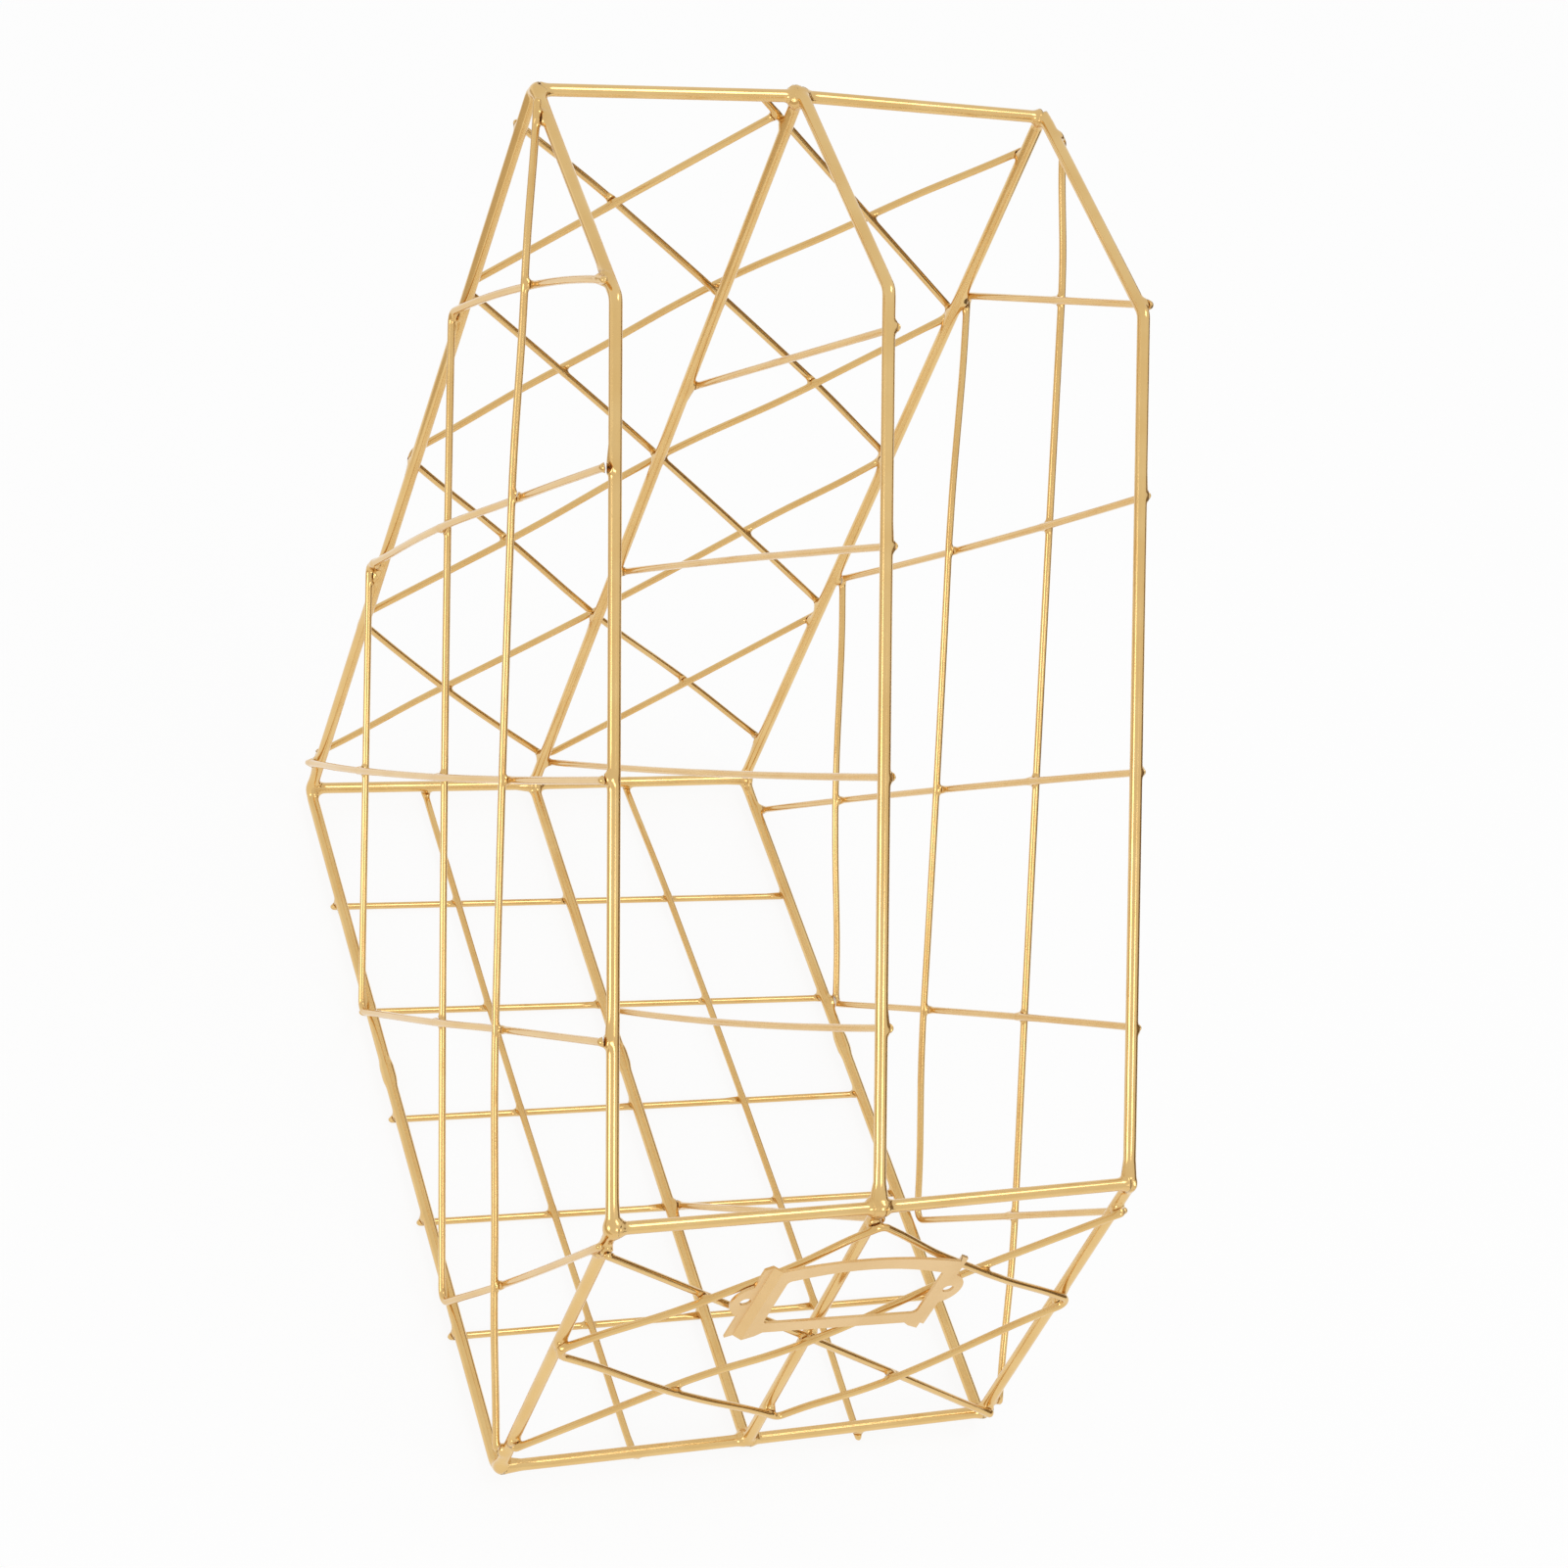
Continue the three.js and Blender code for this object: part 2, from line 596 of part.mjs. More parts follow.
// The front view of the card frame: X across and Y up, from the middle of the ears.
function cardOutline() {
  const { flangeUp, raisedHalf, raisedDown, footCorner, arch, earRadius } = CARD;
  const [flangeHalf, flangeDown, flangeTop] = [cardFlangeHalf, cardFoot, flangeUp - CARD.shoulder];
  const [footEnd, sideDown] = [raisedHalf - CARD.sideBorder, raisedDown + CARD.sideBelow];
  const earX = cardEarTip - earRadius;
  const earRise = Math.sqrt(earRadius ** 2 - (flangeHalf - earX) ** 2);
  const earTurn = Math.atan2(earRise, flangeHalf - earX);
  const outline = new THREE.Shape();
  outline.moveTo(-flangeHalf, -flangeDown);
  outline.lineTo(-footEnd, -sideDown);
  outline.lineTo(footCorner - footEnd, -raisedDown);
  outline.lineTo(footEnd - footCorner, -raisedDown);
  outline.lineTo(footEnd, -sideDown);
  outline.lineTo(flangeHalf, -flangeDown);
  outline.absarc(earX, 0, earRadius, -earTurn, earTurn, false);
  outline.lineTo(flangeHalf, flangeTop);
  outline.lineTo(raisedHalf, flangeUp);
  outline.quadraticCurveTo(0, flangeUp + 2 * arch, -raisedHalf, flangeUp);
  outline.lineTo(-flangeHalf, flangeTop);
  outline.absarc(-earX, 0, earRadius, Math.PI - earTurn, Math.PI + earTurn, false);
  outline.holes.push(cardWindow());
  const holeX = cardEarTip - CARD.earHoleInset;
  for (const x of [-holeX, holeX]) {
    outline.holes.push(new THREE.Path().absarc(x, 0, CARD.earHole / 2, 0, 2 * Math.PI, true));
  }
  return outline;
}

function cardWindow() {
  const { windowCorner: corner, arch } = CARD;
  const half = CARD.raisedHalf - CARD.sideBorder;
  const up = CARD.flangeUp - CARD.topBorder;
  const down = CARD.raisedDown - CARD.bottomBorder;
  const hole = new THREE.Path();
  hole.moveTo(-half + corner, -down);
  hole.lineTo(half - corner, -down);
  hole.absarc(half - corner, corner - down, corner, -Math.PI / 2, 0, false);
  hole.absarc(half - corner, up - corner, corner, 0, Math.PI / 2, false);
  hole.quadraticCurveTo(0, up + 2 * arch, -half + corner, up);
  hole.absarc(-half + corner, up - corner, corner, Math.PI / 2, Math.PI, false);
  hole.absarc(-half + corner, corner - down, corner, Math.PI, 1.5 * Math.PI, false);
  return hole;
}

// The section of the pressed sheet seen from above: X across and Y forward from the back of the flanges.
function cardSection() {
  const { sheet, raise, raisedHalf } = CARD;
  const edge = cardEarTip + sheet;
  const foot = cardSlopeFoot;
  const back = [[-edge, 0], [-foot, 0], [-raisedHalf, raise], [raisedHalf, raise], [foot, 0], [edge, 0]];
  const front = back.map(([x, y]) => [x, y + sheet]).reverse();
  return new THREE.Shape([...back, ...front].map(flat));
}

function addCardFrame() {
  const thick = CARD.raise + 4 * CARD.sheet;
  const tall = 2 * (CARD.flangeUp + cardFoot);
  const outline = new THREE.ExtrudeGeometry(cardOutline(), { depth: thick, bevelEnabled: false, curveSegments: 10 });
  outline.rotateX(Math.PI / 2).translate(0, CARD.sheet, 0);
  const section = new THREE.ExtrudeGeometry(cardSection(), { depth: tall, bevelEnabled: false });
  section.scale(1, -1, 1).translate(0, 0, -tall / 2);
  const cut = toSolid(outline).intersect(toSolid(flipped(section)));
  const card = addPiece('card_frame', toGeometry(cut), 'sheet');
  const behind = face + layer + meshRadius + CONTACT_GAP;
  card.position.set(cardMiddle.x, -DEPTH / 2 - behind, floorLift + cardMiddle.y);
  card.rotation.y = cardTurn;
}

// A mirrored geometry has its faces turned inside out, so their corners are put in the other order.
function flipped(geometry) {
  const flat3 = geometry.index ? geometry.toNonIndexed() : geometry;
  const position = flat3.attributes.position;
  for (let i = 0; i < position.count; i += 3) {
    const a = new THREE.Vector3().fromBufferAttribute(position, i + 1);
    const b = new THREE.Vector3().fromBufferAttribute(position, i + 2);
    position.setXYZ(i + 1, b.x, b.y, b.z);
    position.setXYZ(i + 2, a.x, a.y, a.z);
  }
  return flat3;
}

addCardFrame();

export default holder;
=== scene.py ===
import math
from random import Random

import bpy
import numpy as np
from mathutils import Matrix, Vector
from mathutils.kdtree import KDTree


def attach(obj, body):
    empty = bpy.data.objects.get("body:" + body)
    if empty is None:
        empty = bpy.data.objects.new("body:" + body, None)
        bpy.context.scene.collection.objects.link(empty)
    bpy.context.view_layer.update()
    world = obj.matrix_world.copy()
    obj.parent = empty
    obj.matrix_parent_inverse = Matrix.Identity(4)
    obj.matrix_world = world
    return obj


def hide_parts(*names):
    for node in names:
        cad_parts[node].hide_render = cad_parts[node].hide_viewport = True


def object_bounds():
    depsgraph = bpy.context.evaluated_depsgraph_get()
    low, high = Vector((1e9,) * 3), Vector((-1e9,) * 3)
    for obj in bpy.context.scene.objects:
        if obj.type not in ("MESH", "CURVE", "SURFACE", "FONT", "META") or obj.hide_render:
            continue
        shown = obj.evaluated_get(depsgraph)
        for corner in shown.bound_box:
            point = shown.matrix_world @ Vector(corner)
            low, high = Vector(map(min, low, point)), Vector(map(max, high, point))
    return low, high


# A desk magazine holder of welded gold wire. The centre line of each wire is read from its solid in the
# frame. The script draws a round wire along it, melts it into the wires that it is welded to and gives it
# a satin gold finish. All lengths are in metres.

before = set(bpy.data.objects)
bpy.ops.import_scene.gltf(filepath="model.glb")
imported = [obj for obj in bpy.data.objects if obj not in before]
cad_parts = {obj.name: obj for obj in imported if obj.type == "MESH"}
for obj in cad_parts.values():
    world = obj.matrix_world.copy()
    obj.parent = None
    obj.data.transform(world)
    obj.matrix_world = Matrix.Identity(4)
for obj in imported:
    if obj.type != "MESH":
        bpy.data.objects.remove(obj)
cad_low, cad_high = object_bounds()

MM = 0.001

# The solids: their flat sides, and what tells their long edges and a rod's thinner shaft
FRAME_SIDES = 12
MESH_SIDES = 8
CORNER_DIGITS = 6
LONG_EDGE_SHARE = 0.9
SHAFT_SHARE = 0.9

# Round wires
SIDES = {"frame": 24, "rod": 24, "mesh": 16}
CORNER_ROUNDS = 3
CORNER_CUT = 1 / 4
LONG_STEP = 5 * MM
WELD_STEP = 0.6 * MM
LEAST_STEP = 0.08 * MM
LEAST_LENGTH = 1e-9
DOME_RINGS = 4
DOME_FIRST_RING = 0.35
DOME_LENGTH = 0.8
ROD_SINK = 1.2 * MM
CARD_RIM = 0.25 * MM
CARD_RIM_STEPS = 3
CARD_RIM_ANGLE = math.radians(40)

# Where wires touch
CONTACT_REACH = 0.7 * MM
CONTACT_APART = 6 * MM
SAMPLE_STEP = 0.5 * MM
SELF_APART = 20 * MM
STRAND_REACH = 14 * MM
NO_WELD = 1.0

# Welds, by kind: a rod on a frame, more lumpy at a few joints, a thin wire on heavy wire, two thin wires
SEED = 7
LUMPY_JOINTS = {
    ("rear_top", "divider_frame"),
    ("slope_foot", "left_frame"),
    ("slope_foot", "divider_frame"),
}
MELT_WIDTHS = {"lumpy": 3.0 * MM, "rod": 2.6 * MM, "frame": 1.5 * MM, "mesh": 1.3 * MM}
MELT_ROUNDS = 4
MELT_STEPS_ACROSS = 3
MELT_REACH = 7 * MM
FINE_REACH = MELT_REACH * 0.8
LEAST_STEEPNESS = 0.3
HIDDEN_DEPTH = 0.6 * MM
LUMP_COUNTS = {"lumpy": 5, "rod": 2, "frame": 2, "mesh": 1}
LUMP_SIZES = {
    "lumpy": (1.2 * MM, 1.8 * MM),
    "rod": (0.9 * MM, 1.4 * MM),
    "frame": (0.8 * MM, 1.1 * MM),
    "mesh": (0.6 * MM, 0.8 * MM),
}
LUMP_SPREAD = {"lumpy": 2.3 * MM, "rod": 1.5 * MM, "frame": 0.9 * MM, "mesh": 0.5 * MM}
LUMP_MELT = 1.8 * MM
WELD_TINT_REACH = 3.2 * MM
WELD_LAYER = "weld"

# Gold finishes, each with a pale and a deep tone in the usual 0 to 255 values
HEAVY_TONES = ((233, 197, 132), (228, 189, 121))
HEAVY_ROUGHNESS = 0.16
THIN_TONES = ((231, 194, 128), (226, 186, 118))
THIN_ROUGHNESS = 0.12
SHEET_TONES = ((235, 199, 142), (229, 191, 130))
SHEET_ROUGHNESS = 0.32
GRAIN_TONE = (200, 156, 94)
GRAIN_STRENGTH = 0.03
WELD_TONE = (200, 152, 84)
WELD_STRENGTH = 0.15
METALLIC = 0.92
COAT = 0.35
COAT_ROUGHNESS = 0.08
GLOSSIER = 0.01
DULLER = 0.03
BUMP_STRENGTH = 0.02
BUMP_HEIGHT = 0.02 * MM

# Noise under the finishes: scale and detail, and the stretch of its values that is used
PATCH_NOISE = (70, 3)
PATCH_RANGE = (0.35, 0.65)
GRAIN_NOISE = (1200, 2)
GRAIN_RANGE = (0.5, 0.8)
GLOSS_NOISE = (120, 2)
GLOSS_RANGE = (0.3, 0.7)
BUMP_NOISE = (180, 1)

# The colour sockets of a mix node
MIX_FACTOR = 0
MIX_ONE = 6
MIX_OTHER = 7
MIX_RESULT = 2

# Studio: a white floor, even light all round and three soft lamps
FLOOR_SIDE = 24.0
FLOOR_WHITE = (0.9, 0.9, 0.9, 1)
FLOOR_GLOW_SHARE = 0.88
WORLD_WHITE = (1, 1, 1, 1)
WORLD_LIGHT = 0.85
SOFTBOXES = {
    "overhead_softbox": {"place": (0.54, -0.26, 1.55), "size": (0.7, 0.4), "brightness": 2.2},
    "left_softbox": {"place": (-1.43, -0.48, 0.25), "size": (0.5, 0.5), "brightness": 2.3},
    "front_softbox": {"place": (0.10, -1.38, 0.88), "size": (0.36, 0.5), "brightness": 2.6},
}
WATTS_PER_AREA = 4

# Brown boards that only reflections show, an upright one and two that lie just over the floor. They paint
# shade on the wires as dark painted reflections along their sides
DEEP_PAINTED_SHADE = (0.07, 0.04, 0.02, 1)
DARK_PAINTED_SHADE = (0.17, 0.10, 0.04, 1)
PALE_PAINTED_SHADE = (0.66, 0.58, 0.47, 1)
BOARD_ROUGHNESS = 0.9
FLAT = 0.0
UPRIGHT = math.radians(-90)
BOARDS = {
    "right_dark_wall": {
        "place": (1.25, 0.2, 0.25), "size": (0.5, 1.8), "lean": UPRIGHT, "shade": DARK_PAINTED_SHADE,
    },
    "right_dark_strip": {
        "place": (0.84, -0.38, 0.002), "size": (0.78, 1.0), "lean": FLAT, "shade": DEEP_PAINTED_SHADE,
    },
    "left_dark_strip": {
        "place": (-0.5, 0.05, 0.002), "size": (0.5, 1.2), "lean": FLAT, "shade": PALE_PAINTED_SHADE,
    },
}

# Camera, at the place and angle the photograph was taken from
CAMERA_PLACE = (-0.4056, -0.5716, 0.8419)
CAMERA_AIM = (0.0300, 0.0376, 0.1059)
CAMERA_ROLL = math.radians(24.84)
CAMERA_LENS = 80.43
CAMERA_SENSOR = 36


def unit(vector):
    return vector / np.linalg.norm(vector)


def add_object(name, data):
    made = bpy.data.objects.new(name, data)
    bpy.context.scene.collection.objects.link(made)
    return made


# Centre lines from the solids


def shared_corners(node):
    """A solid's corners, each one once, and the set of corners that each one shares an edge with."""
    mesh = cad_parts[node].data
    numbers = {}
    index = [
        numbers.setdefault(tuple(round(x, CORNER_DIGITS) for x in vertex.co), len(numbers))
        for vertex in mesh.vertices
    ]
    neighbours = [set() for _ in numbers]
    for edge in mesh.edges:
        a, b = (index[v] for v in edge.vertices)
        if a != b:
            neighbours[a].add(b)
            neighbours[b].add(a)
    return np.array(list(numbers)), neighbours


def joined_groups(members, neighbours):
    """The members in groups that hang together by edges."""
    left = set(members)
    groups = []
    while left:
        group, edge = set(), {min(left)}
        while edge:
            group |= edge
            edge = (set().union(*(neighbours[c] for c in edge)) & left) - group
        groups.append(group)
        left -= group
    return groups


def starting_ring(corners, neighbours, sides):
    """The ring of corners at one end of the wire's longest straight stretch."""
    def length(a, b):
        return np.linalg.norm(corners[a] - corners[b])

    longest = max(length(a, b) for a, beside in enumerate(neighbours) for b in beside)
    members = {
        a for a, beside in enumerate(neighbours)
        if any(length(a, b) > LONG_EDGE_SHARE * longest for b in beside)
    }
    close = [{b for b in beside if length(a, b) < longest / 2} for a, beside in enumerate(neighbours)]
    return next(group for group in joined_groups(members, close) if len(group) == sides)


def walk(ring, behind, neighbours):
    """The rings from one on, until the solid ends or comes back to where it started."""
    first, rings = behind, []
    while ring and ring != first:
        if len(rings) > len(neighbours):
            raise RuntimeError("a wire's rings don't follow each other")
        rings.append(ring)
        onward = set().union(*(neighbours[c] for c in ring)) - ring - behind
        ring, behind = onward, ring
    return rings, ring == first


def wire_line(node, sides):
    """A bent wire's centre line as rows of x, y, z and radius, and whether it is closed."""
    corners, neighbours = shared_corners(node)
    start = starting_ring(corners, neighbours, sides)
    beside = set().union(*(neighbours[c] for c in start)) - start
    ways = joined_groups(beside, neighbours)
    rings, closed = walk(ways[0], start, neighbours)
    rings.insert(0, start)
    if not closed and len(ways) > 1:
        rings = walk(ways[1], start, neighbours)[0][::-1] + rings
    rows = []
    for ring in rings:
        places = corners[list(ring)]
        centre = places.mean(0)
        rows.append([*centre, np.linalg.norm(places - centre, axis=1).mean()])
    return np.array(rows), closed


def rod_line(node):
    """A rod's centre line with its shaft's radius, carried on a little way into the frames it is welded to.

    The middles of the rod's two end faces are its corners with the most edges."""
    corners, neighbours = shared_corners(node)
    middles = sorted(range(len(corners)), key=lambda c: -len(neighbours[c]))[:2]
    start, end = corners[middles]
    along = unit(end - start)
    from_axis = np.linalg.norm(np.cross(corners - start, along), axis=1)
    on_shaft = (from_axis > LEAST_STEP) & (from_axis < SHAFT_SHARE * from_axis.max())
    radius = from_axis[on_shaft].mean()
    return np.array([[*(start - along * ROD_SINK), radius], [*(end + along * ROD_SINK), radius]])


def cut_corners(rows, closed):
    """The line with each corner cut a quarter of the way along its shorter side."""
    count = len(rows)
    made = [] if closed else [rows[0]]
    for i in range(count) if closed else range(1, count - 1):
        here, before, after = rows[i], rows[i - 1], rows[(i + 1) % count]
        to_before, to_after = (np.linalg.norm(row[:3] - here[:3]) for row in (before, after))
        cut = min(to_before, to_after) * CORNER_CUT
        made.append(here + (before - here) * cut / to_before)
        made.append(here + (after - here) * cut / to_after)
    if not closed:
        made.append(rows[-1])
    return np.array(made)


def without_short_steps(rows):
    kept = [rows[0]]
    for row in rows[1:-1]:
        if np.linalg.norm(row[:3] - kept[-1][:3]) > LEAST_STEP:
            kept.append(row)
    kept.append(rows[-1])
    return np.array(kept)


def smooth_line(rows, closed):
    for _ in range(CORNER_ROUNDS):
        rows = cut_corners(rows, closed)
    return without_short_steps(rows)


def stepped(rows, closed, step_at):
    """The line with its long stretches divided, by the step wanted at each place."""
    ends = np.vstack([rows, rows[:1]]) if closed else rows
    made = []
    for a, b in zip(ends[:-1], ends[1:]):
        length = np.linalg.norm((b - a)[:3])
        done = 0.0
        while done < length - LEAST_STEP:
            here = a + (b - a) * done / length
            made.append(here)
            done += step_at(here[:3])
    if not closed:
        made.append(rows[-1])
    return np.array(made)


def evenly_stepped(rows, closed, step):
    return stepped(rows, closed, lambda _: step)


# Round wires


def directions_along(points, closed):
    if closed:
        return [unit(v) for v in np.roll(points, -1, axis=0) - np.roll(points, 1, axis=0)]
    return [unit(v) for v in np.gradient(points, axis=0)]


def turned(vector, axis, angle):
    return np.array(Matrix.Rotation(angle, 3, Vector(axis)) @ Vector(vector))


def carried_sides(points, closed):
    """For each point the wire's direction and one side direction, carried along without twist."""
    along = directions_along(points, closed)
    helper = min(np.eye(3), key=lambda axis: abs(axis @ along[0]))
    sides = [unit(np.cross(along[0], helper))]
    for i in range(1, len(points)):
        side = sides[-1] - (sides[-1] @ along[i]) * along[i]
        sides.append(unit(side))
    if closed:
        last = unit(sides[-1] - (sides[-1] @ along[0]) * along[0])
        twist = math.atan2(np.cross(last, sides[0]) @ along[0], last @ sides[0])
        shares = np.arange(len(points)) / len(points)
        sides = [turned(s, a, twist * k) for s, a, k in zip(sides, along, shares)]
    return along, sides


def domed(rows):
    """The line with its two ends drawn in to round tips, within its own length."""
    length = DOME_LENGTH * rows[0][3]
    made = []
    for end in (rows, rows[::-1]):
        tip, inward = end[0], unit(end[1][:3] - end[0][:3])
        rings = []
        for k in range(DOME_RINGS):
            angle = math.pi / 2 * (k + DOME_FIRST_RING) / DOME_RINGS
            place = tip[:3] + inward * length * (1 - math.cos(angle))
            rings.append([*place, tip[3] * math.sin(angle)])
        made.append(rings)
    middle = [
        row for row in rows
        if min(np.linalg.norm(row[:3] - end[:3]) for end in (rows[0], rows[-1])) > length
    ]
    return np.array(made[0] + middle + made[1][::-1])


def tube(rows, sides, closed):
    """Corners and faces of a round tube along rows of x, y, z and radius."""
    along, side = carried_sides(rows[:, :3], closed)
    turn = 2 * math.pi * np.arange(sides) / sides
    corners = []
    for (x, y, z, radius), a, s in zip(rows, along, side):
        other = np.cross(a, s)
        ring = np.outer(np.cos(turn), s) + np.outer(np.sin(turn), other)
        corners.append(np.array([x, y, z]) + radius * ring)
    count = len(rows)
    faces = []
    for i in range(count if closed else count - 1):
        j = (i + 1) % count
        for k in range(sides):
            m = (k + 1) % sides
            faces.append((i * sides + k, i * sides + m, j * sides + m, j * sides + k))
    if not closed:
        faces.append(tuple(range(sides))[::-1])
        faces.append(tuple((count - 1) * sides + k for k in range(sides)))
    return np.concatenate(corners), faces


def add_wire_piece(name, corners, faces, material, weld_tint):
    """A smooth piece that rides on the one body, kept inside the box of the solids."""
    mesh = bpy.data.meshes.new(name)
    mesh.from_pydata(np.clip(corners, cad_low, cad_high).tolist(), [], faces)
    layer = mesh.attributes.new(WELD_LAYER, "FLOAT", "POINT")
    layer.data.foreach_set("value", np.asarray(weld_tint, np.float32))
    mesh.shade_smooth()
    mesh.materials.append(material)
    piece = add_object(name, mesh)
    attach(piece, "root")
    return piece


# Where wires touch


def arc_lengths(rows):
    """How far along the line each row is, with the whole way straight back to the start at the end."""
    steps = np.linalg.norm(np.roll(rows[:, :3], -1, axis=0) - rows[:, :3], axis=1)
    return np.concatenate([[0], np.cumsum(steps)])


def apart_along(arc, i, j):
    """The shorter way between two rows of a line whose end leads straight back to its start."""
    way = abs(arc[i] - arc[j])
    return min(way, arc[-1] - way)


def close_pairs(samples):
    """Pairs of sample rows of two wires, or of two stretches of one, that nearly touch, closest first."""
    arcs = {name: arc_lengths(rows) for name, rows in samples.items()}
    owners = [(name, i) for name, rows in samples.items() for i in range(len(rows))]
    tree = KDTree(len(owners))
    for k, (name, i) in enumerate(owners):
        tree.insert(samples[name][i][:3], k)
    tree.balance()
    found = []
    widest = 2 * max(rows[:, 3].max() for rows in samples.values()) + CONTACT_REACH
    for k, (name, i) in enumerate(owners):
        here = samples[name][i]
        for _, other_k, distance in tree.find_range(here[:3], widest):
            if other_k <= k:
                continue
            other, j = owners[other_k]
            if other == name and apart_along(arcs[name], i, j) < SELF_APART:
                continue
            spare = distance - here[3] - samples[other][j][3]
            if spare < CONTACT_REACH:
                found.append((spare, name, i, other, j))
    return sorted(found)


def find_contacts(wires):
    """Where wires touch: for each contact the two wires' names and the place midway between them."""
    samples = {name: evenly_stepped(*line, SAMPLE_STEP) for name, line in wires.items()}
    kept = []
    for _, name, i, other, j in close_pairs(samples):
        middle = (samples[name][i][:3] + samples[other][j][:3]) / 2
        near = any(
            {name, other} == set(names) and np.linalg.norm(middle - place) < CONTACT_APART
            for names, place in kept
        )
        if not near:
            kept.append(((name, other), middle))
    return kept


def strands(rows, closed, place):
    """The row numbers of each stretch of a line that passes a place, the nearest stretch first."""
    distance = np.linalg.norm(rows[:, :3] - place, axis=1)
    near = np.flatnonzero(distance < STRAND_REACH)
    groups = np.split(near, np.flatnonzero(np.diff(near) > 1) + 1)
    if closed and len(groups) > 1 and near[0] == 0 and near[-1] == len(rows) - 1:
        groups[0] = np.concatenate([groups.pop(), groups[0]])
    return sorted(groups, key=lambda group: distance[group].min())


# Welds


def lumps(place, kind, random):
    """Round lumps of molten metal about a weld, as rows of x, y, z and radius, inside the solids' box."""
    made = []
    for _ in range(LUMP_COUNTS[kind]):
        radius = random.uniform(*LUMP_SIZES[kind])
        way = unit(np.array([random.gauss(0, 1) for _ in range(3)]))
        middle = place + way * random.uniform(0, LUMP_SPREAD[kind])
        middle = np.clip(middle, np.array(cad_low) + radius, np.array(cad_high) - radius)
        made.append(np.array([[*middle, radius], [*(middle + [0, 0, LEAST_STEP]), radius]]))
    return made


def distance_and_normal(points, rows):
    """How far each point is from a wire's surface, and the direction away from its centre line."""
    start, span = rows[:-1, :3], np.diff(rows[:, :3], axis=0)
    length = np.maximum((span ** 2).sum(1), LEAST_LENGTH ** 2)
    to_point = points[:, None, :] - start[None]
    share = np.clip((to_point * span).sum(2) / length, 0, 1)
    away = to_point - share[..., None] * span
    distance = np.linalg.norm(away, axis=2)
    radius = rows[:-1, 3] + share * np.diff(rows[:, 3])
    nearest = (distance - radius).argmin(1)
    pick = np.arange(len(points)), nearest
    out = away[pick] / np.maximum(distance[pick], LEAST_LENGTH)[:, None]
    return distance[pick] - radius[pick], out


def melt(corners, own, neighbour, drops, width):
    """Moves a wire's corners near a weld out to the smooth surface that joins it to all it meets there.

    The drops are the weld's lumps. Corners deep inside the neighbour stay where they are."""
    points = corners
    for _ in range(MELT_ROUNDS):
        surface, way = distance_and_normal(points, own)
        buried = np.zeros(len(points), bool)
        for rows, reach in [(neighbour, width)] + [(drop, LUMP_MELT) for drop in drops]:
            other, other_way = distance_and_normal(points, rows)
            if rows is neighbour:
                buried = other < -HIDDEN_DEPTH
            overlap = np.maximum(reach - np.abs(surface - other), 0) / reach
            share = np.where(other < surface, 1 - overlap / 2, overlap / 2)[:, None]
            surface = np.minimum(surface, other) - overlap ** 2 * reach / 4
            way = (1 - share) * way + share * other_way
        steepness = np.maximum((way ** 2).sum(1), LEAST_STEEPNESS)
        step = np.where(buried, 0, -surface / steepness)
        points = points + way * np.clip(step, 0, width / MELT_STEPS_ACROSS)[:, None]
    return points


def melt_strand(rings, line, strand, neighbour, weld):
    """Melts the rings of one stretch of a wire into the neighbour that it touches there."""
    near = strand[np.linalg.norm(line[strand, :3] - weld["middle"], axis=1) < MELT_REACH]
    if len(near):
        corners = rings[near].reshape(-1, 3)
        melted = melt(corners, line[strand], neighbour, weld["lumps"], MELT_WIDTHS[weld["kind"]])
        rings[near] = melted.reshape(rings[near].shape)


# Materials


class Nodes:
    """A new material's node tree, with short ways to add nodes and link them."""

    def __init__(self, name):
        self.material = bpy.data.materials.new(name)
        self.material.use_nodes = True
        self.tree = self.material.node_tree
        self.shader = self.tree.nodes["Principled BSDF"]

    def add(self, kind, **settings):
        node = self.tree.nodes.new(kind)
        for key, value in settings.items():
            setattr(node, key, value)
        return node

    def link(self, source, target):
        self.tree.links.new(source, target)

    def noise(self, scale, detail):
        place = self.add("ShaderNodeTexCoord").outputs["Object"]
        node = self.add("ShaderNodeTexNoise")
        node.inputs["Scale"].default_value = scale
        node.inputs["Detail"].default_value = detail
        self.link(place, node.inputs["Vector"])
        return node.outputs["Fac"]

    def mix(self, factor, one, other):
        """A blend of two colours, where each input is a value or another node's output."""
        node = self.add("ShaderNodeMix", data_type="RGBA")
        for value, place in ((factor, MIX_FACTOR), (one, MIX_ONE), (other, MIX_OTHER)):
            if isinstance(value, bpy.types.NodeSocket):
                self.link(value, node.inputs[place])
            else:
                node.inputs[place].default_value = value
        return node.outputs[MIX_RESULT]

    def ranged(self, value, low, high, start=0.0, end=1.0):
        """A value from start to end carried over to low to high."""
        node = self.add("ShaderNodeMapRange")
        self.link(value, node.inputs["Value"])
        node.inputs["From Min"].default_value = start
        node.inputs["From Max"].default_value = end
        node.inputs["To Min"].default_value = low
        node.inputs["To Max"].default_value = high
        return node.outputs["Result"]


def colour(red, green, blue):
    """A colour from its usual 0 to 255 values, as the shader wants it."""
    straight = [c / 255 for c in (red, green, blue)]
    return (*[c / 12.92 if c < 0.04045 else ((c + 0.055) / 1.055) ** 2.4 for c in straight], 1)


